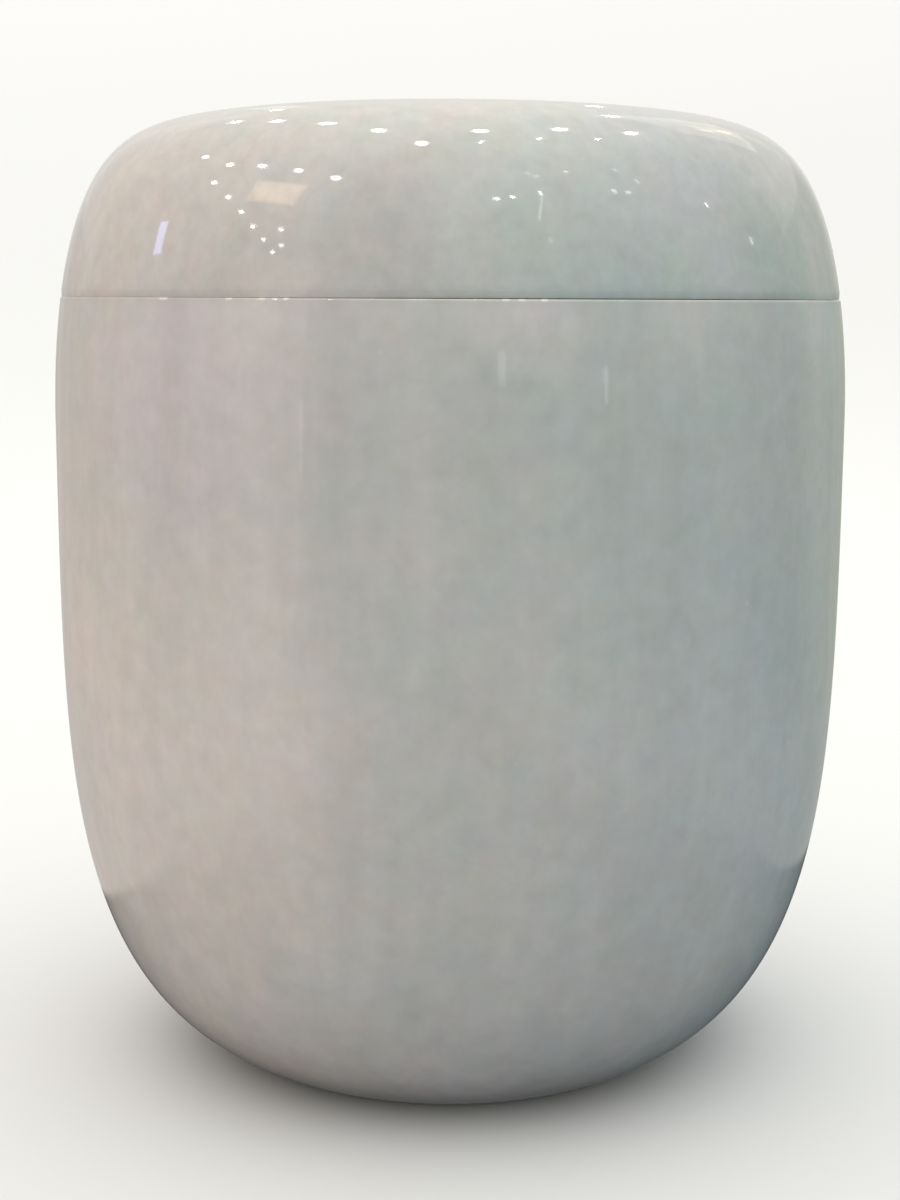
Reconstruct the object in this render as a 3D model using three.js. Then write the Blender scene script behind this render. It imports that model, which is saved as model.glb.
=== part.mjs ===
// A cinerary urn turned from pale polished stone: a hollow body, and a lid that lifts off.
// Millimetres, +Z up. The origin is the centre of the flat foot that the urn stands on.

import * as THREE from 'three';

// Driving dimensions of the outside
const BELLY_RADIUS = 105;
const BELLY_HEIGHT = 171.3;
const FOOT_RADIUS = 57;
const CROWN_HEIGHT = 250;

// The level cut that parts the lid from the body, and the clearance left in it
const SEAM_HEIGHT = 203.5;
const SEAM_GAP = 0.3;

// How full the outline is, as superellipse powers: 2 is an ellipse, and more is squarer
const SHOULDER_SIDE_POWER = 8.6;
const SHOULDER_CROWN_POWER = 2.05;
const HAUNCH_SIDE_POWER = 3.28;
const HAUNCH_FOOT_POWER = 3.98;

// Radii of the edges that the polisher has eased
const FOOT_EASE = 1.2;
const BODY_LIP_EASE = 1.4;
const MOUTH_EASE = 2;
const LID_LIP_EASE = 1.8;
const SPIGOT_EASE = 1.5;

// The bore of the body, with its round-cornered floor
const BORE_RADIUS = 76;
const FLOOR_HEIGHT = 24;
const FLOOR_ROUND = 34;

// The lid's spigot, which drops into the bore, and the hollow above it
const SPIGOT_CLEARANCE = 1;
const SPIGOT_DEPTH = 9;
const SPIGOT_WIDTH = 12;
const CROWN_THICKNESS = 22;
const HOLLOW_POWER = 3;

// How finely the forms are faceted
const TURN_STEPS = 64;
const HAUNCH_STEPS = 14;
const WAIST_STEPS = 3;
const SHOULDER_STEPS = 12;
const FLOOR_STEPS = 7;
const HOLLOW_STEPS = 8;
const EASE_STEPS = 3;

// The outside is two superellipse quarters that meet at the belly. The upper one closes at the
// crown. The lower one would close a little under the foot, which cuts it off flat.
const CROWN_RISE = CROWN_HEIGHT - BELLY_HEIGHT;
const FOOT_ANGLE = haunchAngle(FOOT_RADIUS);
const KEEL_DEPTH = BELLY_HEIGHT / Math.sin(-FOOT_ANGLE) ** (2 / HAUNCH_FOOT_POWER);

// A point of the outside by its angle on the curve: a quarter turn down at the keel, nought at
// the belly and a quarter turn up at the crown.
function outsidePoint(angle) {
  const across = Math.cos(angle);
  const along = Math.sin(Math.abs(angle));
  if (angle < 0) {
    return new THREE.Vector2(
      BELLY_RADIUS * across ** (2 / HAUNCH_SIDE_POWER),
      BELLY_HEIGHT - KEEL_DEPTH * along ** (2 / HAUNCH_FOOT_POWER),
    );
  }
  return new THREE.Vector2(
    BELLY_RADIUS * across ** (2 / SHOULDER_SIDE_POWER),
    BELLY_HEIGHT + CROWN_RISE * along ** (2 / SHOULDER_CROWN_POWER),
  );
}

// The angle at a radius under the belly, and at a height above it
function haunchAngle(radius) {
  return -Math.acos((radius / BELLY_RADIUS) ** (HAUNCH_SIDE_POWER / 2));
}

function shoulderAngle(height) {
  return Math.asin(((height - BELLY_HEIGHT) / CROWN_RISE) ** (SHOULDER_CROWN_POWER / 2));
}

// Points between two angles, with the first one and without the last one
function outside(from, to, steps) {
  return Array.from({ length: steps }, (_, i) => outsidePoint(from + ((to - from) * i) / steps));
}

// A round corner about a centre, from one bearing to another, in degrees
function corner(centreRadius, centreHeight, round, from, to, steps = EASE_STEPS) {
  return Array.from({ length: steps + 1 }, (_, i) => {
    const bearing = THREE.MathUtils.degToRad(from + ((to - from) * i) / steps);
    return new THREE.Vector2(
      centreRadius + round * Math.cos(bearing),
      centreHeight + round * Math.sin(bearing),
    );
  });
}

// From the middle of the foot, up the outside, over the lip and down the bore to the floor
function bodyProfile() {
  const lipAngle = shoulderAngle(SEAM_HEIGHT - BODY_LIP_EASE);
  const lip = outsidePoint(lipAngle);
  return [
    new THREE.Vector2(0, 0),
    new THREE.Vector2(FOOT_RADIUS - FOOT_EASE, 0),
    ...outside(haunchAngle(FOOT_RADIUS + FOOT_EASE), 0, HAUNCH_STEPS),
    ...outside(0, lipAngle, WAIST_STEPS),
    ...corner(lip.x - BODY_LIP_EASE, lip.y, BODY_LIP_EASE, 0, 90),
    ...corner(BORE_RADIUS + MOUTH_EASE, SEAM_HEIGHT - MOUTH_EASE, MOUTH_EASE, 90, 180),
    ...corner(BORE_RADIUS - FLOOR_ROUND, FLOOR_HEIGHT + FLOOR_ROUND, FLOOR_ROUND, 0, -90, FLOOR_STEPS),
    new THREE.Vector2(0, FLOOR_HEIGHT),
  ];
}

// The hollow under the crown, from its top out to the seat
function lidHollow(radius, seatHeight) {
  const rise = CROWN_HEIGHT - CROWN_THICKNESS - seatHeight;
  return Array.from({ length: HOLLOW_STEPS + 1 }, (_, i) => {
    const angle = (Math.PI / 2) * (1 - i / HOLLOW_STEPS);
    return new THREE.Vector2(
      i === 0 ? 0 : radius * Math.cos(angle) ** (2 / HOLLOW_POWER),
      seatHeight + rise * Math.sin(angle) ** (2 / HOLLOW_POWER),
    );
  });
}

// From the top of the hollow, down inside the spigot, round it, along the seat and up to the crown
function lidProfile() {
  const seatHeight = SEAM_HEIGHT + SEAM_GAP;
  const spigotFoot = seatHeight - SPIGOT_DEPTH;
  const spigotRadius = BORE_RADIUS - SPIGOT_CLEARANCE;
  const hollowRadius = spigotRadius - SPIGOT_WIDTH;
  const lipAngle = shoulderAngle(seatHeight + LID_LIP_EASE);
  const lip = outsidePoint(lipAngle);
  return [
    ...lidHollow(hollowRadius, seatHeight),
    ...corner(hollowRadius + SPIGOT_EASE, spigotFoot + SPIGOT_EASE, SPIGOT_EASE, 180, 270),
    ...corner(spigotRadius - SPIGOT_EASE, spigotFoot + SPIGOT_EASE, SPIGOT_EASE, -90, 0),
    new THREE.Vector2(spigotRadius, seatHeight),
    ...corner(lip.x - LID_LIP_EASE, lip.y, LID_LIP_EASE, -90, 0),
    ...outside(lipAngle, Math.PI / 2, SHOULDER_STEPS).slice(1),
    new THREE.Vector2(0, CROWN_HEIGHT),
  ];
}

// A profile of radius and height, turned about the upright axis
function turned(name, profile, material) {
  const geometry = new THREE.LatheGeometry(profile, TURN_STEPS).rotateX(Math.PI / 2);
  const mesh = new THREE.Mesh(geometry, material);
  mesh.name = name;
  return mesh;
}

const paleStone = new THREE.MeshStandardMaterial({ color: 0xb4b4ae, roughness: 0.12, metalness: 0 });

const urn = new THREE.Group();
urn.add(turned('urn_body', bodyProfile(), paleStone));
urn.add(turned('urn_lid', lidProfile(), paleStone.clone()));

export default urn;
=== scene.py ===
import math

import bpy
from mathutils import Matrix, Vector


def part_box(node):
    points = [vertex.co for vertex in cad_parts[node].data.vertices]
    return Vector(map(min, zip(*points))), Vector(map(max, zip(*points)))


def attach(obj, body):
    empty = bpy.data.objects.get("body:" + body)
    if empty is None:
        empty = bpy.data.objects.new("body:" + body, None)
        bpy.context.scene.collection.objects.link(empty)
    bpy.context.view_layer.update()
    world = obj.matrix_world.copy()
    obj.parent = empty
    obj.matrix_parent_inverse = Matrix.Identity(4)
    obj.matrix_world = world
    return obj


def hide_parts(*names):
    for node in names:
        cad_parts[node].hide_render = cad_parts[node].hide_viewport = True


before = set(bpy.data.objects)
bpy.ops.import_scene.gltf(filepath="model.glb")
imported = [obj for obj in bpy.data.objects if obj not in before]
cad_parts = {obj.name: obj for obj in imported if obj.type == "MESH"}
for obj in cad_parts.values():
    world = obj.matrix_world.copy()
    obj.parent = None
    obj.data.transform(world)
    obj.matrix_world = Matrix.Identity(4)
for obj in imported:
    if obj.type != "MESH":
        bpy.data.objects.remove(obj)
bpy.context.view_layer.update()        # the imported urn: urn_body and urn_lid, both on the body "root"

mm = 0.001
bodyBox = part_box("urn_body")
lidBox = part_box("urn_lid")
print("frame loaded:", sorted(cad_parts))


def addNode(tree, kind, inputs=None, **settings):
    # one node, with its settings, and each input linked or set
    node = tree.nodes.new(kind)
    for name, value in settings.items():
        setattr(node, name, value)
    for name, value in (inputs or {}).items():
        if isinstance(value, bpy.types.NodeSocket):
            tree.links.new(value, node.inputs[name])
        else:
            node.inputs[name].default_value = value
    return node


def addMath(tree, operation, first, second=0.0):
    return addNode(tree, "ShaderNodeMath", {0: first, 1: second}, operation=operation).outputs[0]


def addSpread(tree, value, low, high, newLow=0.0, newHigh=1.0, smooth=False):
    limits = {"From Min": low, "From Max": high, "To Min": newLow, "To Max": newHigh}
    way = "SMOOTHSTEP" if smooth else "LINEAR"
    return addNode(tree, "ShaderNodeMapRange", {"Value": value, **limits}, interpolation_type=way).outputs[0]


def addBlend(tree, share, first, second, way="MIX"):
    # the sockets of a colour mix have no names of their own
    inputs = {0: share, 6: first, 7: second}
    return addNode(tree, "ShaderNodeMix", inputs, data_type="RGBA", blend_type=way).outputs[2]


# camera, at the photograph's distance and level with the seam
camera = {
    "distance": 525 * mm,
    "height": bodyBox[1].z,
    "sideways": 0.19 * mm,
    "lens": 57.9,           # on a 36 mm long side
    "nearest": 10 * mm,
    "tiltDown": 8.87,       # degrees
    "roll": 0.24,
}


def makeCamera():
    data = bpy.data.cameras.new("camera")
    data.lens = camera["lens"]
    data.clip_start = camera["nearest"]
    holder = bpy.data.objects.new("camera", data)
    holder.location = (camera["sideways"], -camera["distance"], camera["height"])
    tilt = math.radians(90 - camera["tiltDown"])
    turned = Matrix.Rotation(tilt, 3, "X") @ Matrix.Rotation(math.radians(camera["roll"]), 3, "Z")
    holder.rotation_euler = turned.to_euler()
    bpy.context.scene.collection.objects.link(holder)
    bpy.context.scene.camera = holder


makeCamera()
print("camera set")

# the outside of body and lid together: two superellipse quarters that meet at the belly
outline = {
    "bellyRadius": bodyBox[1].x,
    "bellyHeight": 171.3 * mm,
    "footRadius": 57 * mm,
    "crownHeight": lidBox[1].z,
    "seamHeight": bodyBox[1].z,
    "shoulderSide": 8.6,    # powers: 2 is an ellipse, more is squarer
    "shoulderCrown": 2.05,
    "haunchSide": 3.28,
    "haunchFoot": 3.98,
}


def haunchAngle(radius):
    return -math.acos((radius / outline["bellyRadius"]) ** (outline["haunchSide"] / 2))


def shoulderAngle(height):
    rise = (height - outline["bellyHeight"]) / (outline["crownHeight"] - outline["bellyHeight"])
    return math.asin(rise ** (outline["shoulderCrown"] / 2))


def outsidePoint(angle):
    across = max(math.cos(angle), 0)
    along = math.sin(abs(angle))
    belly = outline["bellyHeight"]
    if angle < 0:
        footShare = math.sin(-haunchAngle(outline["footRadius"])) ** (2 / outline["haunchFoot"])
        radius = outline["bellyRadius"] * across ** (2 / outline["haunchSide"])
        return radius, belly - belly / footShare * along ** (2 / outline["haunchFoot"])
    radius = outline["bellyRadius"] * across ** (2 / outline["shoulderSide"])
    return radius, belly + (outline["crownHeight"] - belly) * along ** (2 / outline["shoulderCrown"])


# a profile is a list of (radius, height, polish, edge): polish is 1 where the stone is polished and
# 0 where it is only honed, and edge is 1 on the lip at the seam and falls to 0 where the easing ends
def outside(start, end, steps):
    angles = [start + (end - start) * i / steps for i in range(steps)]
    return [(*outsidePoint(angle), 1, 0) for angle in angles]


def corner(centre, rounding, start, end, steps, lip=0):
    # rounding is how far the corner reaches across and along, and lip is 1 at the seam
    turns = [math.radians(start + (end - start) * i / steps) for i in range(steps + 1)]
    ways = [(math.cos(turn), math.sin(turn)) for turn in turns]
    return [
        (centre[0] + rounding[0] * c, centre[1] + rounding[1] * s, lip, lip * abs(s)) for c, s in ways
    ]


def straight(start, end, steps):
    # between two points, without either, and only honed
    shares = [i / steps for i in range(1, steps)]
    return [tuple(a + (b - a) * s for a, b in zip(start, end)) + (0, 0) for s in shares]


mergeReach = 0.002 * mm         # closes the turning and its two ends on the axis
nickNoise = (0.6, 0.68)         # where the noise begins to nick the lip, and where the nick is full
openCosine = (0.5, 0.98)        # of the angle from the open side: shut below these, open above them


def makeTurnTree():
    # turns a profile about the upright axis, with the slight wander of a piece finished by hand
    tree = bpy.data.node_groups.new("turnedStone", "GeometryNodeTree")
    for name, kind in (
        ("Profile", "NodeSocketGeometry"),
        ("Turn Steps", "NodeSocketInt"),
        ("Wander", "NodeSocketFloat"),
        ("Wander Scale", "NodeSocketFloat"),
        ("Nick Depth", "NodeSocketFloat"),
        ("Nick Scale", "NodeSocketFloat"),
        ("Lip Drop", "NodeSocketFloat"),
        ("Lip Fill", "NodeSocketFloat"),
        ("Open Turn", "NodeSocketFloat"),
        ("Seed", "NodeSocketFloat"),
        ("Stone", "NodeSocketMaterial"),
    ):
        tree.interface.new_socket(name=name, in_out="INPUT", socket_type=kind)
    tree.interface.new_socket(name="Geometry", in_out="OUTPUT", socket_type="NodeSocketGeometry")
    given = addNode(tree, "NodeGroupInput").outputs
    profile = given["Profile"]

    # a grid with one row for each profile point and one column for each turn step
    rows = addNode(tree, "GeometryNodeAttributeDomainSize", {"Geometry": profile}).outputs["Point Count"]
    columns = addMath(tree, "ADD", given["Turn Steps"], 1)
    grid = addNode(tree, "GeometryNodeMeshGrid", {"Vertices X": rows, "Vertices Y": columns}).outputs["Mesh"]
    index = addNode(tree, "GeometryNodeInputIndex").outputs["Index"]
    row = addMath(tree, "FLOOR", addMath(tree, "DIVIDE", addMath(tree, "ADD", index, 0.5), columns))
    column = addMath(tree, "SUBTRACT", index, addMath(tree, "MULTIPLY", row, columns))
    # turned clockwise, so that the faces point outwards
    turn = addMath(tree, "MULTIPLY", addMath(tree, "DIVIDE", column, given["Turn Steps"]), -math.tau)

    def fromProfile(kind, value):
        sample = addNode(
            tree, "GeometryNodeSampleIndex",
            {"Geometry": profile, "Value": value, "Index": row}, data_type=kind, domain="POINT",
        )
        return sample.outputs["Value"]

    def mark(name):
        value = addNode(tree, "GeometryNodeInputNamedAttribute", {"Name": name}).outputs[0]
        return fromProfile("FLOAT", value)

    place = fromProfile("FLOAT_VECTOR", addNode(tree, "GeometryNodeInputPosition").outputs["Position"])
    place = addNode(tree, "ShaderNodeSeparateXYZ", {"Vector": place}).outputs
    polish = mark("polish")
    edge = mark("edge")
    cosine = addMath(tree, "COSINE", turn)
    sine = addMath(tree, "SINE", turn)

    def turnedPlace(radius, height):
        across = addMath(tree, "MULTIPLY", radius, cosine)
        along = addMath(tree, "MULTIPLY", radius, sine)
        return addNode(tree, "ShaderNodeCombineXYZ", {"X": across, "Y": along, "Z": height}).outputs[0]

    def noise(scale, detail):
        vector = turnedPlace(place["X"], place["Z"])
        inputs = {"Vector": vector, "W": given["Seed"], "Scale": scale, "Detail": detail}
        return addNode(tree, "ShaderNodeTexNoise", inputs, noise_dimensions="4D").outputs[0]

    # the wander only cuts into the outline, as a share of the radius, and the nicks only into the lip
    wander = addMath(tree, "MULTIPLY", noise(given["Wander Scale"], 1.0), given["Wander"])
    wander = addMath(tree, "MULTIPLY", wander, polish)
    wandered = addMath(tree, "MULTIPLY", place["X"], addMath(tree, "SUBTRACT", 1.0, wander))
    nick = addSpread(tree, noise(given["Nick Scale"], 2.0), *nickNoise, 0.0, 1.0, True)
    nick = addMath(tree, "MULTIPLY", addMath(tree, "MULTIPLY", nick, edge), given["Nick Depth"])

    # the lip drops shut and is hardly eased, but for one side where the seam stays open
    toOpen = addMath(tree, "COSINE", addMath(tree, "SUBTRACT", turn, given["Open Turn"]))
    shut = addSpread(tree, toOpen, *openCosine, 1.0, 0.0)
    drawn = addMath(tree, "SUBTRACT", 1.0, addMath(tree, "MULTIPLY", edge, edge))
    drawn = addMath(tree, "SUBTRACT", 1.0, addMath(tree, "SQRT", drawn))
    fill = addMath(tree, "MULTIPLY", addMath(tree, "MULTIPLY", shut, drawn), given["Lip Fill"])
    drop = addMath(tree, "MULTIPLY", addMath(tree, "MULTIPLY", shut, edge), given["Lip Drop"])
    radius = addMath(tree, "ADD", wandered, addMath(tree, "SUBTRACT", fill, nick))
    height = addMath(tree, "SUBTRACT", place["Z"], drop)

    def shaped(kind, shape, inputs, **settings):
        return addNode(tree, "GeometryNode" + kind, {"Geometry": shape, **inputs}, **settings).outputs[0]

    shape = shaped("SetPosition", grid, {"Position": turnedPlace(radius, height)})
    for name, value in (("polish", polish), ("edge", edge)):
        inputs = {"Name": name, "Value": value}
        shape = shaped("StoreNamedAttribute", shape, inputs, data_type="FLOAT", domain="POINT")
    shape = shaped("MergeByDistance", shape, {"Distance": mergeReach})
    shape = shaped("SetShadeSmooth", shape, {"Shade Smooth": True})
    shape = shaped("RealizeInstances", shape, {})
    shape = shaped("SetMaterial", shape, {"Material": given["Stone"]})
    addNode(tree, "NodeGroupOutput", {"Geometry": shape})
    return tree


def turnPiece(name, tree, profile, sizes):
    # the profile as a line of points, turned by the tree, and kept as a plain mesh
    line = bpy.data.meshes.new(name + "Profile")
    line.from_pydata(
        [(point[0], 0, point[1]) for point in profile],
        [(i, i + 1) for i in range(len(profile) - 1)], [],
    )
    for number, mark in ((2, "polish"), (3, "edge")):
        values = [float(point[number]) for point in profile]
        line.attributes.new(mark, "FLOAT", "POINT").data.foreach_set("value", values)
    blank = bpy.data.objects.new(name + "Blank", line)
    bpy.context.scene.collection.objects.link(blank)
    turning = blank.modifiers.new("turning", "NODES")
    turning.node_group = tree
    for socket in tree.interface.items_tree:
        if socket.name in sizes:
            turning[socket.identifier] = sizes[socket.name]
    blank.update_tag()
    graph = bpy.context.evaluated_depsgraph_get()
    turned = blank.evaluated_get(graph)
    mesh = bpy.data.meshes.new_from_object(turned, preserve_all_data_layers=True, depsgraph=graph)
    blank.modifiers.remove(turning)
    bpy.data.objects.remove(blank)
    mesh.name = name
    piece = bpy.data.objects.new(name, mesh)
    bpy.context.scene.collection.objects.link(piece)
    print(name, "has", len(mesh.polygons), "faces")
    return piece


noiseSpan = (0.3, 0.7)          # where most of a noise lies
shadeSpan = (0.25, 0.75)        # wider, for shading that stays soft
zoneCore = 0.2                  # share of its reach over which a zone is full
markCore = 0.6                  # and a mark on the lip


def stoneColour(tree, place, edge, look):
    # the block's clouds, zones, tints, mottling, streaks, veins and flecks, and marks on the lip; some zones
    # and marks are painted highlight and painted shade
    block = addNode(tree, "ShaderNodeMapping", {"Vector": place, "Location": look["offset"]}).outputs[0]

    def noise(scale, detail, roughness=0.5, vector=block):
        inputs = {"Vector": vector, "Scale": scale, "Detail": detail, "Roughness": roughness}
        return addNode(tree, "ShaderNodeTexNoise", inputs).outputs

    def nearBy(vector, middle, full, none, share):
        # the share within one reach of a place, fading to nothing at another
        inputs = {0: vector, 1: middle}
        far = addNode(tree, "ShaderNodeVectorMath", inputs, operation="DISTANCE").outputs["Value"]
        return addSpread(tree, far, full, none, share, 0.0, True)

    def tinted(colour, value, depths):
        # each channel darker or lighter by its own value
        inputs = {0: value, 1: [2 * depth for depth in depths], 2: [1 - depth for depth in depths]}
        shade = addNode(tree, "ShaderNodeVectorMath", inputs, operation="MULTIPLY_ADD").outputs[0]
        return addBlend(tree, 1.0, colour, shade, "MULTIPLY")

    def shaded(colour, value, depth):
        shade = addSpread(tree, value, *shadeSpan, 1 - depth, 1 + depth)
        shade = addNode(tree, "ShaderNodeCombineColor", {0: shade, 1: shade, 2: shade}).outputs[0]
        return addBlend(tree, 1.0, colour, shade, "MULTIPLY")

    # broad clouds between a paler and a greyer stone
    cloud = noise(look["cloudScale"], 2.0, 0.55)[0]
    colour = addBlend(tree, addSpread(tree, cloud, *noiseSpan), look["pale"], look["grey"])

    # tinted zones, a few of them painted highlight and painted shade, ragged because the place strays by up
    # to half its reach
    inputs = {0: noise(look["rag"], 1.0, 0.6)[1], 1: (0.5, 0.5, 0.5)}
    stray = addNode(tree, "ShaderNodeVectorMath", inputs, operation="SUBTRACT").outputs[0]
    inputs = {0: stray, 1: (look["stray"],) * 3, 2: place}
    ragged = addNode(tree, "ShaderNodeVectorMath", inputs, operation="MULTIPLY_ADD").outputs[0]
    for centre, reach, share, tint in look["zones"]:
        middle = tuple(c * mm for c in centre)
        share = nearBy(ragged, middle, zoneCore * reach * mm, reach * mm, share)
        colour = addBlend(tree, share, colour, tint)

    # tints that wander, mottling and upright streaks
    colour = tinted(colour, noise(look["tintScale"], 2.0, 0.6)[1], look["tint"])
    colour = shaded(colour, noise(look["mottleScale"], 3.0, 0.6)[0], look["mottle"])
    if look["streak"]:
        squash = (1, 1, look["streakSquash"])
        grain = addNode(tree, "ShaderNodeMapping", {"Vector": block, "Scale": squash}).outputs[0]
        colour = shaded(colour, noise(look["streakScale"], 3.0, 0.55, grain)[0], look["streak"])

    # hair veins where a wide noise lets them show
    hair = addMath(tree, "SUBTRACT", noise(look["veinScale"], 3.0, 0.6)[0], 0.5)
    hair = addSpread(tree, addMath(tree, "ABSOLUTE", hair), 0.0, look["veinWidth"], 1.0, 0.0)
    shown = addSpread(tree, noise(look["veinPatches"], 0.0)[0], *look["veinShown"], 0.0, look["vein"])
    colour = addBlend(tree, addMath(tree, "MULTIPLY", hair, shown), colour, look["veinColour"])

    # milky flecks in a few of many cells
    cell = addNode(tree, "ShaderNodeTexVoronoi", {"Vector": block, "Scale": look["fleckScale"]}).outputs
    chosen = addNode(tree, "ShaderNodeSeparateColor", {"Color": cell["Color"]}).outputs[0]
    near = addSpread(tree, cell["Distance"], *look["fleckReach"], 1.0, 0.0)
    shown = addSpread(tree, chosen, *look["fleckShown"], 0.0, look["fleck"])
    colour = addBlend(tree, addMath(tree, "MULTIPLY", near, shown), colour, look["milk"])

    # painted glints and painted shade on the lip, by bearing round from the camera's side to the right
    lipRadius = outsidePoint(shoulderAngle(outline["seamHeight"]))[0]
    for bearing, reach, share, tint in look["lipMarks"]:
        turn = math.radians(bearing)
        middle = (lipRadius * math.sin(turn), -lipRadius * math.cos(turn), outline["seamHeight"])
        share = nearBy(place, middle, markCore * reach * mm, reach * mm, share)
        colour = addBlend(tree, addMath(tree, "MULTIPLY", share, edge), colour, tint)
    return colour


def stoneMaterial(name, look):
    # pale stone, polished outside and only honed where "polish" is nought
    material = bpy.data.materials.new(name)
    material.use_nodes = True
    tree = material.node_tree
    tree.nodes.clear()

    def marked(name):
        node = addNode(tree, "ShaderNodeAttribute", attribute_name=name, attribute_type="GEOMETRY")
        return node.outputs["Fac"]

    def noise(scale, detail):
        inputs = {"Vector": place, "Scale": scale, "Detail": detail}
        return addNode(tree, "ShaderNodeTexNoise", inputs).outputs[0]

    place = addNode(tree, "ShaderNodeTexCoord").outputs["Object"]
    gloss = addSpread(tree, noise(look["buffScale"], 1.0), *noiseSpan, *look["gloss"])
    matt = addSpread(tree, marked("polish"), 0.0, 1.0, look["honed"], 0.0)
    height = noise(look["swellScale"], 1.0)
    swell = addNode(tree, "ShaderNodeBump", {"Height": height, "Distance": look["swell"]})
    stone = addNode(
        tree, "ShaderNodeBsdfPrincipled",
        {
            "Base Color": stoneColour(tree, place, marked("edge"), look),
            "Roughness": addMath(tree, "ADD", gloss, matt),
            "IOR": look["ior"],
            "Normal": swell.outputs[0],
        },
    )
    addNode(tree, "ShaderNodeOutputMaterial", {"Surface": stone.outputs[0]})
    return material


turnTree = makeTurnTree()
openTurn = math.radians(-63)        # where the seam is open, round from +X
# painted glint: white specks on the lip that stand in for the lamps shining in its rounding
paintedGlint = (0.95, 0.94, 0.92, 1)
lipShade = (0.36, 0.35, 0.34, 1)

# the hollow body, from the middle of its foot round to the middle of its floor
urnBody = {
    "footEase": 1.2 * mm,
    "lipEase": (0.45 * mm, 0.7 * mm),    # across, along
    "mouthEase": 2 * mm,
    "boreRadius": 76 * mm,
    "floorHeight": 24 * mm,
    "floorRound": 34 * mm,
    "steps": {
        "foot": 5, "haunch": 60, "shoulder": 20, "lip": 7, "rim": 5,
        "mouth": 6, "bore": 8, "floorRound": 14, "floor": 4,
    },
    "turning": {
        "Turn Steps": 480, "Wander": 0.002, "Wander Scale": 9.0,
        "Nick Depth": 0.1 * mm, "Nick Scale": 130.0,
        "Lip Drop": 0.0, "Lip Fill": 0.3 * mm, "Open Turn": openTurn, "Seed": 3.0,
    },
    "look": {
        "offset": (0.31, 0.12, 0.05),       # where in the block the piece was cut
        "pale": (0.60, 0.585, 0.558, 1),
        "grey": (0.54, 0.56, 0.543, 1),
        "milk": (0.68, 0.67, 0.655, 1),
        "veinColour": (0.40, 0.42, 0.41, 1),
        "cloudScale": 16.0,
        # centre and reach in millimetres, share and tint
        "zones": [
            ((-62, -84, 185), 50, 0.6, (0.61, 0.565, 0.595, 1)),
            ((38, -97, 165), 70, 0.5, (0.47, 0.545, 0.52, 1)),
            ((72, -76, 105), 75, 0.5, (0.49, 0.53, 0.535, 1)),
            ((-58, -88, 95), 75, 0.6, (0.68, 0.635, 0.60, 1)),
            ((4, -74, 12), 26, 0.5, (0.65, 0.645, 0.64, 1)),
            # painted highlight: paler along the lip just under the seam, where its rounding catches the light
            # from above
            ((-45, -93, 204), 26, 0.5, (0.65, 0.625, 0.60, 1)),
            ((18, -102, 204), 24, 0.7, (0.65, 0.635, 0.61, 1)),
            ((58, -86, 204), 26, 0.7, (0.65, 0.645, 0.62, 1)),
            ((90, -52, 204), 28, 0.7, (0.66, 0.65, 0.63, 1)),
            ((-40, 96, 130), 75, 0.5, (0.49, 0.55, 0.53, 1)),
            ((70, 78, 90), 65, 0.5, (0.60, 0.56, 0.565, 1)),
        ],
        "rag": 22.0,
        "stray": 0.05,
        "tintScale": 100.0,
        "tint": (0.072, 0.04, 0.068),
        "mottleScale": 170.0,
        "mottle": 0.062,
        "streakScale": 90.0,
        "streakSquash": 0.07,
        "streak": 0.05,
        "veinScale": 13.0,
        "veinWidth": 0.008,
        "veinPatches": 11.0,
        "veinShown": (0.52, 0.62),
        "vein": 0.1,
        "fleckScale": 200.0,
        "fleckReach": (0.05, 0.16),
        "fleckShown": (0.92, 0.97),
        "fleck": 0.4,
        # painted glints on the lip: bearing in degrees, reach in millimetres, share and tint
        "lipMarks": [
            (-39.6, 1.7, 1.0, paintedGlint), (-28.7, 1.1, 0.9, paintedGlint), (-23.9, 1.1, 0.9, paintedGlint),
            (-22.1, 0.8, 1.0, paintedGlint), (-20.6, 0.9, 1.0, paintedGlint), (6.7, 1.1, 0.8, paintedGlint),
            (8.7, 1.0, 0.8, paintedGlint), (11.5, 1.0, 1.0, paintedGlint), (118, 1.4, 0.8, paintedGlint),
        ],
        "buffScale": 60.0,
        "gloss": (0.03, 0.07),
        "honed": 0.4,
        "swellScale": 30.0,
        "swell": 0.05 * mm,
        "ior": 1.6,
    },
}


def bodyProfile():
    lipAngle = shoulderAngle(outline["seamHeight"] - urnBody["lipEase"][1])
    lip = outsidePoint(lipAngle)
    bore = urnBody["boreRadius"]
    seam = outline["seamHeight"]
    mouthEase = urnBody["mouthEase"]
    floorRound = urnBody["floorRound"]
    footEase = urnBody["footEase"]
    footFlat = outline["footRadius"] - footEase
    floorHeight = urnBody["floorHeight"]
    rimOuter = lip[0] - urnBody["lipEase"][0]
    mouth = bore + mouthEase
    floorFlat = bore - floorRound
    boreFoot = floorHeight + floorRound
    steps = urnBody["steps"]
    return [
        (0, 0, 0, 0),
        *straight((0, 0), (footFlat, 0), steps["foot"]),
        (footFlat, 0, 0, 0),
        *outside(haunchAngle(outline["footRadius"] + footEase), 0, steps["haunch"]),
        *outside(0, lipAngle, steps["shoulder"]),
        *corner((rimOuter, lip[1]), urnBody["lipEase"], 0, 90, steps["lip"], 1),
        *straight((rimOuter, seam), (mouth, seam), steps["rim"]),
        *corner((mouth, seam - mouthEase), (mouthEase, mouthEase), 90, 180, steps["mouth"]),
        *straight((bore, seam - mouthEase), (bore, boreFoot), steps["bore"]),
        *corner((floorFlat, boreFoot), (floorRound, floorRound), 0, -90, steps["floorRound"]),
        *straight((floorFlat, floorHeight), (0, floorHeight), steps["floor"]),
        (0, floorHeight, 0, 0),
    ]


bodyPiece = turnPiece(
    "urnBodyStone", turnTree, bodyProfile(),
    {**urnBody["turning"], "Stone": stoneMaterial("bodyStone", urnBody["look"])},
)
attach(bodyPiece, "root")
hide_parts("urn_body")

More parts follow.
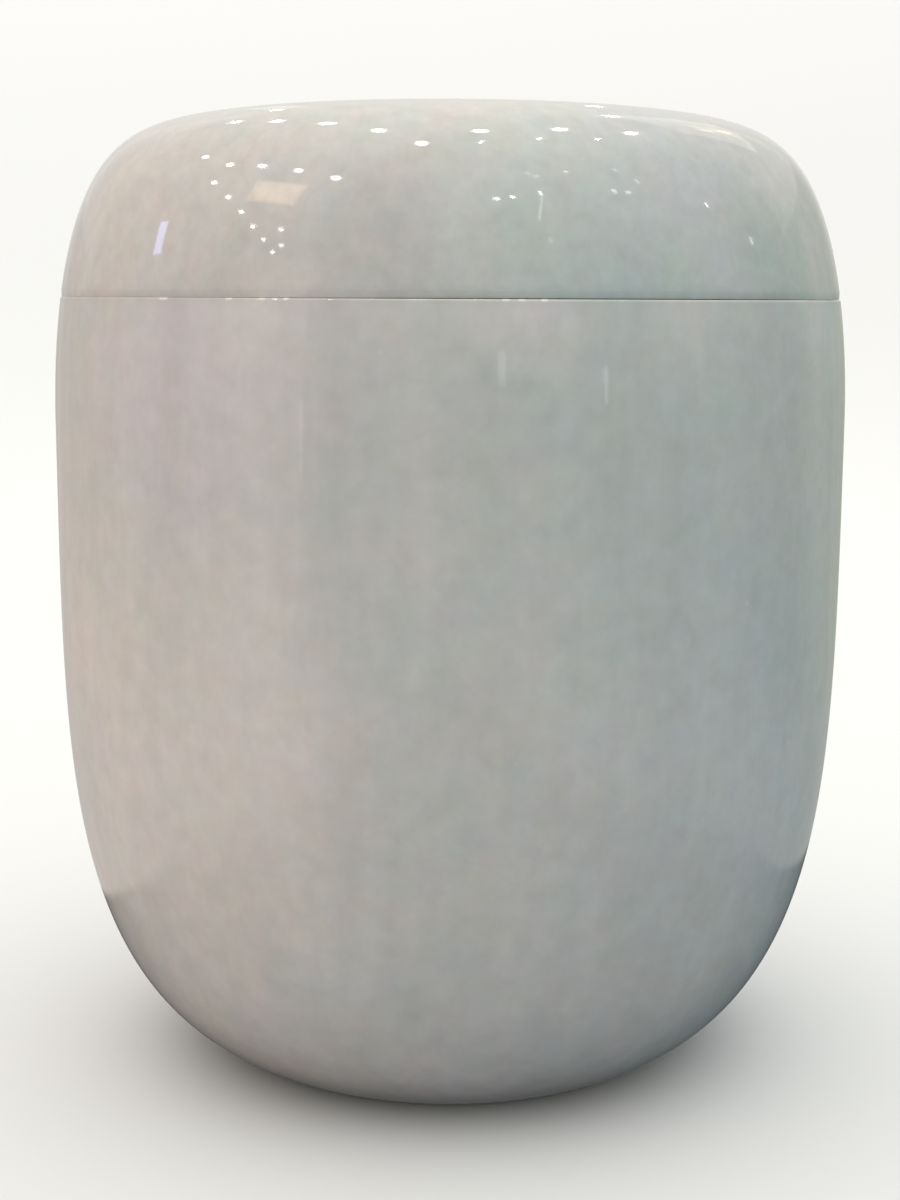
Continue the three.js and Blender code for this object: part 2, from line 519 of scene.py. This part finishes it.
# the lid, from the top of its hollow round its spigot and seat to the crown
urnLid = {
    "seatGap": 0.15 * mm,
    "lipEase": (0.35 * mm, 1.8 * mm),    # across, along
    "landSet": 1.2 * mm,        # how far in from the lip the seat comes down to the rim
    "landGap": 0.02 * mm,
    "spigotRadius": 75 * mm,
    "spigotWidth": 12 * mm,
    "spigotEase": 1.5 * mm,
    "crownThickness": 22 * mm,
    "hollowPower": 3,
    "steps": {"hollow": 14, "spigotEase": 5, "spigot": 3, "land": 5, "lip": 7, "shoulder": 60},
    "turning": {
        "Turn Steps": 480, "Wander": 0.0015, "Wander Scale": 11.0,
        "Nick Depth": 0.05 * mm, "Nick Scale": 170.0,
        "Lip Drop": 0.14 * mm, "Lip Fill": 0.3 * mm, "Open Turn": openTurn, "Seed": 8.0,
    },
    "look": {
        **urnBody["look"],
        "offset": (0.72, 0.4, 0.31),
        "zones": [
            ((-60, -60, 240), 70, 0.5, (0.62, 0.585, 0.56, 1)),
            ((45, -85, 222), 60, 0.5, (0.48, 0.55, 0.53, 1)),
            ((55, -65, 240), 45, 0.5, (0.57, 0.56, 0.585, 1)),
            ((34, -92, 211), 28, 0.5, (0.43, 0.52, 0.50, 1)),
            ((-10, -98, 216), 32, 0.65, (0.465, 0.47, 0.455, 1)),
            # painted shade: darker low on the lid's left, along its edge above the seam
            ((-85, -58, 207), 18, 0.5, (0.52, 0.50, 0.48, 1)),
            ((-42, -94, 208), 26, 0.45, (0.51, 0.50, 0.48, 1)),
            ((80, -64, 212), 20, 0.5, (0.44, 0.515, 0.475, 1)),
            ((20, 85, 235), 60, 0.5, (0.52, 0.56, 0.54, 1)),
        ],
        "mottleScale": 230.0,
        "mottle": 0.075,
        "tint": (0.095, 0.045, 0.068),
        "streak": 0.0,
        "vein": 0.15,
        "lipMarks": [(-66, 42, 0.28, lipShade), (-38, 26, 0.3, lipShade), (78, 22, 0.4, lipShade)],
    },
}


def lidProfile():
    seat = outline["seamHeight"] + urnLid["seatGap"]
    spigotFoot = lidBox[0].z
    spigot = urnLid["spigotRadius"]
    ease = urnLid["spigotEase"]
    hollow = spigot - urnLid["spigotWidth"]
    rise = outline["crownHeight"] - urnLid["crownThickness"] - seat
    power = 2 / urnLid["hollowPower"]
    lipAngle = shoulderAngle(seat + urnLid["lipEase"][1])
    lip = outsidePoint(lipAngle)
    rimOuter = lip[0] - urnLid["lipEase"][0]
    land = outline["seamHeight"] + urnLid["landGap"]
    landOuter = rimOuter - urnLid["landSet"]
    steps = urnLid["steps"]
    quarter = [math.pi / 2 * i / steps["hollow"] for i in range(1, steps["hollow"] + 1)]
    return [
        (0, seat + rise, 0, 0),
        *[(hollow * math.sin(a) ** power, seat + rise * max(math.cos(a), 0) ** power, 0, 0) for a in quarter],
        *corner((hollow + ease, spigotFoot + ease), (ease, ease), 180, 270, steps["spigotEase"]),
        *corner((spigot - ease, spigotFoot + ease), (ease, ease), -90, 0, steps["spigotEase"]),
        *straight((spigot, spigotFoot + ease), (spigot, land), steps["spigot"]),
        (spigot, land, 0, 0),
        *straight((spigot, land), (landOuter, land), steps["land"]),
        (landOuter, land, 0, 0),
        (landOuter, seat, 0, 0),
        *corner((rimOuter, lip[1]), urnLid["lipEase"], -90, 0, steps["lip"], 1),
        *outside(lipAngle, math.pi / 2, steps["shoulder"])[1:],
        (0, outline["crownHeight"], 1, 0),
    ]


lidPiece = turnPiece(
    "urnLidStone", turnTree, lidProfile(),
    {**urnLid["turning"], "Stone": stoneMaterial("lidStone", urnLid["look"])},
)
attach(lidPiece, "root")
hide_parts("urn_lid")

# the studio: a pale round sweep in a soft room, and a room, floor and lamps that show in the polish
cream = (1, 0.93, 0.88)
amber = (1, 0.8, 0.5)
cool = (0.92, 1, 1)
rose = (1, 0.88, 0.85)
studio = {
    "stageSteps": 96,
    "archStep": 5,          # degrees
    "axisRadius": 1 * mm,   # round the axis, where one face closes a turned piece of the stage
    "sweepFlat": 0.5,
    "sweepRadius": 2.2,
    "sweepRound": 0.9,
    "sweepTop": 3.0,
    "sweepColour": (0.8, 0.8, 0.8, 1),
    "wallGlow": 0.38,
    # soft light, by the side and the height it comes from
    "roomLeft": (0.497, 0.458, 0.408, 1),
    "roomRight": (0.535, 0.573, 0.548, 1),
    "ceiling": (1.51, 1.50, 1.47, 1),
    "lowLeft": (0.955, 0.793, 0.73, 1),
    "lowRight": (0.148, 0.262, 0.345, 1),
    "lowReach": (50 * mm, 140 * mm),    # where the light from below begins, and where it is full
    "lowFar": 60.0,
    # the room in the polish, by bearing in degrees round from the camera's side to the right
    "roomReach": 6.0,
    "domeFoot": -20,        # degrees, well under the floor
    "floorDrop": 0.05 * mm,     # just under the foot
    "bearings": [
        (-180, (0.50, 0.48, 0.46, 1)),
        (-150, (0.52, 0.49, 0.47, 1)),
        (-125, (0.66, 0.52, 0.44, 1)),
        (-93, (0.62, 0.47, 0.36, 1)),
        (-91, (0.45, 0.34, 0.28, 1)),
        (-65, (0.52, 0.45, 0.40, 1)),
        (-41, (0.85, 0.76, 0.68, 1)),
        (-39, (0.28, 0.27, 0.26, 1)),
        (60, (0.22, 0.25, 0.25, 1)),
        (98, (0.09, 0.15, 0.12, 1)),
        (111, (0.11, 0.17, 0.11, 1)),
        (116, (0.29, 0.35, 0.23, 1)),
        (132, (0.37, 0.40, 0.32, 1)),
    ],
    "rearHigh": (0.80, 0.78, 0.74, 1),
    "rearRise": (-2, 7),
    "rearCosine": (0.85, 0.97),
    "overhead": (1.55, 1.32, 1.12, 1),
    "overheadShare": (1.3, 0.7),        # in front and behind
    "uprights": 0.1,
    "uprightScale": 7.0,
    "floorLeft": (0.57, 0.535, 0.51, 1),
    "floorRight": (0.36, 0.37, 0.34, 1),
    "floorReach": (0.3, 0.7),
    # a dark patch on the floor round the urn; where it reaches out in front it is a painted shadow
    "patchMiddle": (13 * mm, 0, 0),
    "patchRadius": 181 * mm,
    "patchTaper": 0.37,     # narrower behind
    "patchLean": 0.067,
    "patchAhead": 0.35,     # and longer in front
    "patchSlant": 0.1,
    "patchFront": (-120 * mm, 15 * mm),     # from where to where its edge grows firmer
    "patchSoft": (100 * mm, 16 * mm),       # and how wide the edge is there
    "patch": (0.05, 0.055, 0.06, 1),
    # bearing, rise, width and height in degrees, glow, colour and lean
    "panelDistance": 1.5,
    "panels": [
        (134, 25, 42, 14, 0.26, rose, 0),           # pale glow behind
        (148, 39, 22, 18, 0.45, rose, 0),
        (-140, 25, 36, 30, 0.14, cream, 0),
        (149, 36, 5, 9, 0.5, amber, 0),
        (146.5, 38.5, 1, 2.5, 2.5, amber, 0),
        (150.2, 33.3, 1, 2.5, 2.5, amber, 0),
        (-92.9, 20.6, 3.2, 6.4, 5.0, (0.5, 0.55, 1), 14),       # blue glint on the left
        (-59, 39.6, 19, 8, 1.9, (1, 0.68, 0.38), 5),            # warm glow on the left
        (-58.5, 39.6, 15, 6.5, 1.1, (1, 0.72, 0.42), 5),
        (-169.3, 25.1, 3, 3, 0.4, (0.8, 0.9, 1), 0),
        (-168.4, 30.3, 3, 3, 0.5, amber, 0),
        (41.4, 3.2, 0.9, 4.6, 1.4, cool, 0),        # upright glints
        (40.9, 4.6, 2, 2, 0.7, cool, 0),
        (13.3, 5.8, 2, 4.8, 0.9, cream, 0),
        (-39.4, -2, 0.8, 6, 0.8, cream, 0),
        (28.2, 38, 0.8, 9, 2.6, cool, -18),
        (29.7, 43, 1.1, 1.6, 12.0, cool, 0),        # small sparks
        (29.2, 52.5, 1.5, 2, 2.0, cool, 0),
        (31.5, 50.7, 2.2, 1.5, 2.5, cool, 0),
        (44.5, 51.9, 1.6, 1, 6.0, cool, 0),
        (64, 49.6, 1.6, 1.5, 2.5, cool, 0),
        (67.1, 43.2, 1, 2, 4.0, cool, 0),
        (55.5, 41.1, 1.2, 1.8, 7.0, cool, 0),
        (60, 40, 2, 1.2, 5.0, cool, 0),
        (28.7, 28.2, 1.2, 1.6, 1.5, cool, 0),
        (85.6, 30.6, 0.9, 1.2, 12.0, cool, 0),
        (97.2, 19.5, 0.9, 1.4, 5.0, cool, 0),
    ],
    "lampHeight": 1.75,
    "lampGlow": 30.0,
    "lampColour": (1, 0.97, 0.92),
    "haloGlow": 1.5,
    "haloSpread": 1.4,
    # first lamp, step to the next, how many, width and depth
    "lampRows": [
        ((-0.82, 1.47), (0.165, -0.465), 5, (66 * mm, 120 * mm)),
        ((-0.555, 2.42), (0, 0), 1, (52 * mm, 150 * mm)),
        ((-1.59, 0.47), (0.02, -0.47), 2, (86 * mm, 86 * mm)),
        ((-1.36, -0.33), (0.208, -0.345), 3, (80 * mm, 90 * mm)),
        ((-2.05, -0.13), (-0.177, -0.419), 6, (76 * mm, 84 * mm)),
        ((-2.26, -1.77), (-0.353, -0.385), 2, (70 * mm, 80 * mm)),
        ((0.13, 0.0), (0.343, 0.26), 3, (66 * mm, 120 * mm)),
        ((0.54, 1.40), (-0.09, 1.94), 2, (56 * mm, 140 * mm)),
        ((0.16, -0.35), (0.287, 0.22), 3, (16 * mm, 80 * mm)),
        ((0.46, -1.70), (0.15, 0.08), 2, (60 * mm, 46 * mm)),
    ],
}


def stagePiece(name, points, faces, material, seenBy):
    # one piece of the stage, seen by only one kind of ray
    mesh = bpy.data.meshes.new(name)
    mesh.from_pydata(points, [], faces)
    mesh.polygons.foreach_set("use_smooth", [True] * len(mesh.polygons))
    mesh.materials.append(material)
    piece = bpy.data.objects.new(name, mesh)
    for kind in ("camera", "diffuse", "glossy", "transmission", "shadow"):
        setattr(piece, "visible_" + kind, kind == seenBy)
    bpy.context.scene.collection.objects.link(piece)


def turnedStage(name, line, material, seenBy):
    # a line of (radius, height), turned about the upright axis and closed in the middle
    steps, rings = studio["stageSteps"], len(line)
    bearings = [math.tau * i / steps for i in range(steps)]
    points = [(r * math.cos(b), r * math.sin(b), z) for b in bearings for r, z in line]
    faces = [
        (i * rings + j, i * rings + j + 1, (i + 1) % steps * rings + j + 1, (i + 1) % steps * rings + j)
        for i in range(steps) for j in range(rings - 1)
    ]
    faces.append([i * rings for i in range(steps)])
    stagePiece(name, points, faces, material, seenBy)


def stageMaterial(name, colour, glow):
    # matt, with a glow whose colour or strength may be linked
    material = bpy.data.materials.new(name)
    material.use_nodes = True
    material.cycles.emission_sampling = "NONE"
    shader = material.node_tree.nodes["Principled BSDF"].inputs
    shader["Base Color"].default_value = colour
    shader["Roughness"].default_value = 0.9
    shader["Specular IOR Level"].default_value = 0.0
    shader["Emission Color"].default_value = (1, 1, 1, 1)
    shader["Emission Strength"].default_value = glow
    place = addNode(material.node_tree, "ShaderNodeTexCoord").outputs["Object"]
    place = addNode(material.node_tree, "ShaderNodeSeparateXYZ", {"Vector": place}).outputs
    return material, material.node_tree, shader, place


def sweepMaterial():
    # paper, lit a little from behind where it rises
    material, tree, shader, place = stageMaterial("sweepPaper", studio["sweepColour"], 0.0)
    glow = addSpread(tree, place["Z"], 0.0, studio["sweepRound"], 0.0, studio["wallGlow"], True)
    tree.links.new(glow, shader["Emission Strength"])
    return material


def roundAxis(tree, place):
    # bearing of a place round the upright axis, and how far off the axis it is
    bearing = addMath(tree, "ARCTAN2", place["X"], addMath(tree, "MULTIPLY", place["Y"], -1.0))
    flat = addNode(tree, "ShaderNodeCombineXYZ", {"X": place["X"], "Y": place["Y"]}).outputs[0]
    away = addNode(tree, "ShaderNodeVectorMath", {0: flat}, operation="LENGTH").outputs["Value"]
    return bearing, away


def roomByBearing(tree, bearing):
    # the colours of the room all round, broken into upright bands
    ramp = addNode(tree, "ShaderNodeValToRGB", {"Fac": addSpread(tree, bearing, -math.pi, math.pi)})
    stops = ramp.color_ramp.elements
    while len(stops) < len(studio["bearings"]):
        stops.new(1.0)
    for stop, (degrees, colour) in zip(stops, studio["bearings"]):
        stop.position = degrees / 360 + 0.5
        stop.color = colour
    inputs = {"W": bearing, "Scale": studio["uprightScale"], "Detail": 4.0}
    band = addNode(tree, "ShaderNodeTexNoise", inputs, noise_dimensions="1D").outputs[0]
    band = addSpread(tree, band, *noiseSpan, 1 - studio["uprights"], 1 + studio["uprights"])
    band = addNode(tree, "ShaderNodeCombineColor", {0: band, 1: band, 2: band}).outputs[0]
    return addBlend(tree, 1.0, ramp.outputs[0], band, "MULTIPLY")


def wallMaterial():
    # the room round the urn, brighter behind above the urn's waist, and overhead
    material, tree, shader, place = stageMaterial("polishWall", (0, 0, 0, 1), 1.0)
    bearing, away = roundAxis(tree, place)
    room = roomByBearing(tree, bearing)
    height = addMath(tree, "SUBTRACT", place["Z"], outline["bellyHeight"])
    rise = addMath(tree, "ARCTAN2", height, away)
    low, high = [math.radians(degrees) for degrees in studio["rearRise"]]
    toRear = addMath(tree, "DIVIDE", place["Y"], away)
    rear = addSpread(tree, toRear, *studio["rearCosine"], 0.0, 1.0, True)
    behind = addMath(tree, "MULTIPLY", rear, addSpread(tree, rise, low, high, 0.0, 1.0, True))
    room = addBlend(tree, behind, room, studio["rearHigh"])
    # overhead reaches farther down in front than behind
    over = addSpread(tree, place["Y"], -studio["roomReach"], studio["roomReach"], *studio["overheadShare"])
    over = addMath(tree, "MULTIPLY", over, addSpread(tree, height, 0.0, studio["roomReach"]))
    over = addMath(tree, "POWER", over, 2.0)
    tree.links.new(addBlend(tree, over, room, studio["overhead"]), shader["Emission Color"])
    return material


def floorMaterial():
    # a dark patch round the urn, drawn longer in front as a painted shadow, on a pale floor that runs into
    # the room
    material, tree, shader, place = stageMaterial("polishFloor", (0, 0, 0, 1), 1.0)
    bearing, away = roundAxis(tree, place)
    across = addSpread(tree, addMath(tree, "DIVIDE", place["X"], away), -1.0, 1.0)
    floor = addBlend(tree, across, studio["floorLeft"], studio["floorRight"])
    far = addSpread(tree, away, *studio["floorReach"], 0.0, 1.0, True)
    floor = addBlend(tree, far, floor, roomByBearing(tree, bearing))
    behind = addMath(tree, "MAXIMUM", place["Y"], 0.0)
    leant = addMath(tree, "SUBTRACT", place["X"], addMath(tree, "MULTIPLY", behind, studio["patchLean"]))
    ahead = addMath(tree, "MULTIPLY", addMath(tree, "MINIMUM", place["Y"], 0.0), studio["patchAhead"])
    here = addNode(tree, "ShaderNodeCombineXYZ", {"X": leant, "Y": ahead}).outputs[0]
    inputs = {0: here, 1: studio["patchMiddle"]}
    off = addNode(tree, "ShaderNodeVectorMath", inputs, operation="DISTANCE").outputs["Value"]
    off = addMath(tree, "ADD", off, addMath(tree, "MULTIPLY", behind, studio["patchTaper"]))
    slant = addMath(tree, "MULTIPLY", place["X"], studio["patchSlant"])
    front = addMath(tree, "SUBTRACT", place["Y"], slant)
    soft = addSpread(tree, front, *studio["patchFront"], *studio["patchSoft"])
    off = addMath(tree, "DIVIDE", addMath(tree, "SUBTRACT", off, studio["patchRadius"]), soft)
    shade = addSpread(tree, off, 0.0, 1.0, 1.0, 0.0, True)
    tree.links.new(addBlend(tree, shade, floor, studio["patch"]), shader["Emission Color"])
    return material


def lowMaterial():
    # light from below, none under the foot, warm on the left and cool on the right
    material, tree, shader, place = stageMaterial("lowFloor", (0, 0, 0, 1), 1.0)
    away = roundAxis(tree, place)[1]
    across = addSpread(tree, addMath(tree, "DIVIDE", place["X"], away), -1.0, 1.0)
    tree.links.new(addBlend(tree, across, studio["lowLeft"], studio["lowRight"]), shader["Emission Color"])
    tree.links.new(addSpread(tree, away, *studio["lowReach"], 0.0, 1.0, True), shader["Emission Strength"])
    return material


def makeSweep():
    # floor and backdrop in one round bowl, for the camera alone
    reach, bend = studio["sweepRadius"], studio["sweepRound"]
    turns = [math.radians(a) for a in range(0, 91, studio["archStep"])]
    line = [(studio["axisRadius"], 0.0), (studio["sweepFlat"], 0.0)]
    line += [(reach - bend + bend * math.sin(a), bend - bend * math.cos(a)) for a in turns]
    line += [(reach, studio["sweepTop"])]
    turnedStage("sweep", line, sweepMaterial(), "camera")


def makePolishRoom():
    # walls and floor that show in the polish alone, and a floor that only lights the stone from below
    reach, under, middle = studio["roomReach"], -studio["floorDrop"], studio["axisRadius"]
    turns = [math.radians(a) for a in range(90, studio["domeFoot"] - 1, -studio["archStep"])]
    dome = [(middle, reach)] + [(reach * math.cos(a), reach * math.sin(a)) for a in turns[1:]]
    turnedStage("polishWall", dome, wallMaterial(), "glossy")
    flat = [(middle, under), (reach, under)]
    turnedStage("polishFloor", flat, floorMaterial(), "glossy")
    turnedStage("lowFloor", flat + [(studio["lowFar"], under)], lowMaterial(), "diffuse")


def addLight(name, place, target, shape, size, glow, colour, lean=0):
    # a light of an even glow that shows in the polish alone
    data = bpy.data.lights.new(name, "AREA")
    data.shape = shape
    data.size, data.size_y = size
    data.energy = glow * math.pi * size[0] * size[1] * (math.pi / 4 if shape == "ELLIPSE" else 1)
    data.color = colour
    light = bpy.data.objects.new(name, data)
    light.location = place
    facing = (target - place).to_track_quat("-Z", "Y").to_matrix()
    light.rotation_euler = (facing @ Matrix.Rotation(math.radians(lean), 3, "Z")).to_euler()
    light.visible_camera = False
    light.visible_diffuse = False
    bpy.context.scene.collection.objects.link(light)


def makeLights():
    belly = Vector((0, 0, outline["bellyHeight"]))
    away = studio["panelDistance"]
    for bearing, rise, width, height, glow, colour, lean in studio["panels"]:
        turn, lift = math.radians(bearing), math.radians(rise)
        level = math.cos(lift)
        way = Vector((level * math.sin(turn), -level * math.cos(turn), math.sin(lift)))
        size = (away * level * math.radians(width), away * math.radians(height))
        addLight("panel", belly + away * way, belly, "RECTANGLE", size, glow, colour, lean)
    halo = studio["haloSpread"]
    for first, step, count, size in studio["lampRows"]:
        wide = (halo * size[0], halo * size[1])
        for i in range(count):
            place = Vector((first[0] + step[0] * i, first[1] + step[1] * i, studio["lampHeight"]))
            below = place - Vector((0, 0, 1))
            addLight("lamp", place, below, "ELLIPSE", size, studio["lampGlow"], studio["lampColour"])
            addLight("halo", place, below, "ELLIPSE", wide, studio["haloGlow"], studio["lampColour"])


def makeRoom():
    # soft light from above and all round
    world = bpy.data.worlds.new("room")
    world.use_nodes = True
    tree = world.node_tree
    toward = addNode(tree, "ShaderNodeTexCoord").outputs["Generated"]
    way = addNode(tree, "ShaderNodeSeparateXYZ", {"Vector": toward}).outputs
    room = addBlend(tree, addSpread(tree, way["X"], -1.0, 1.0), studio["roomLeft"], studio["roomRight"])
    rise = addMath(tree, "POWER", addMath(tree, "MAXIMUM", way["Z"], 0.0), 2.0)
    room = addBlend(tree, rise, room, studio["ceiling"], "ADD")
    tree.links.new(room, tree.nodes["Background"].inputs["Color"])
    bpy.context.scene.world = world
    bpy.context.scene.view_settings.view_transform = "Standard"


makeSweep()
makePolishRoom()
makeLights()
makeRoom()
print("studio set")
